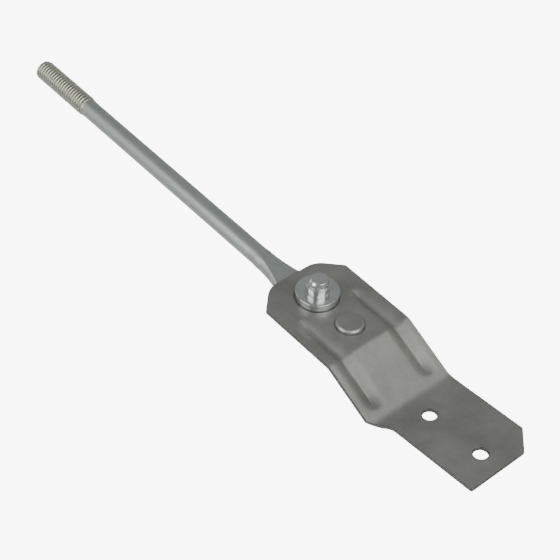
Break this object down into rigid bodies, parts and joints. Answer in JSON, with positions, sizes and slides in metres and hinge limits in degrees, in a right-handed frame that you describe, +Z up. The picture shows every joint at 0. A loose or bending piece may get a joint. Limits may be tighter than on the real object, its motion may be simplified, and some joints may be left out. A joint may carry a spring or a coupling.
{
  "type": "pivoting rod bracket",
  "caption": "Threaded rod with a flattened eye that swings on a rivet under the nose of a double-bent sheet steel bracket with mounting holes.",
  "frame": {"origin": "midway between the two mounting holes, on the underside of the mounting flat", "axes": "+Z up out of the mounting flat, -X along the bracket toward the rod, Y across the bracket"},
  "size_m": [0.2452, 0.035, 0.0334],
  "materials": {
    "plate_steel": "bare rolled steel, dull",
    "zinc_rod": "zinc plated, satin",
    "zinc_bright": "bright zinc plated, turned",
    "rivet_steel": "bare steel, formed head"
  },
  "bodies": {
    "bracket": {"bracket_plate": "plate_steel", "pivot_rivet": "zinc_bright", "pivot_washer": "zinc_bright", "spacer_washer": "zinc_bright", "keeper_strap": "plate_steel", "strap_rivet": "rivet_steel"},
    "rod": {"pivot_rod": "zinc_rod"}
  },
  "joints": [
    {"name": "rod_pivot", "type": "hinge", "parent": "bracket", "child": "rod", "pos_m": [-0.06379, 0, 0.01608], "axis": [0.1097, 0, 0.994], "range_deg": [-75, 75]}
  ]
}
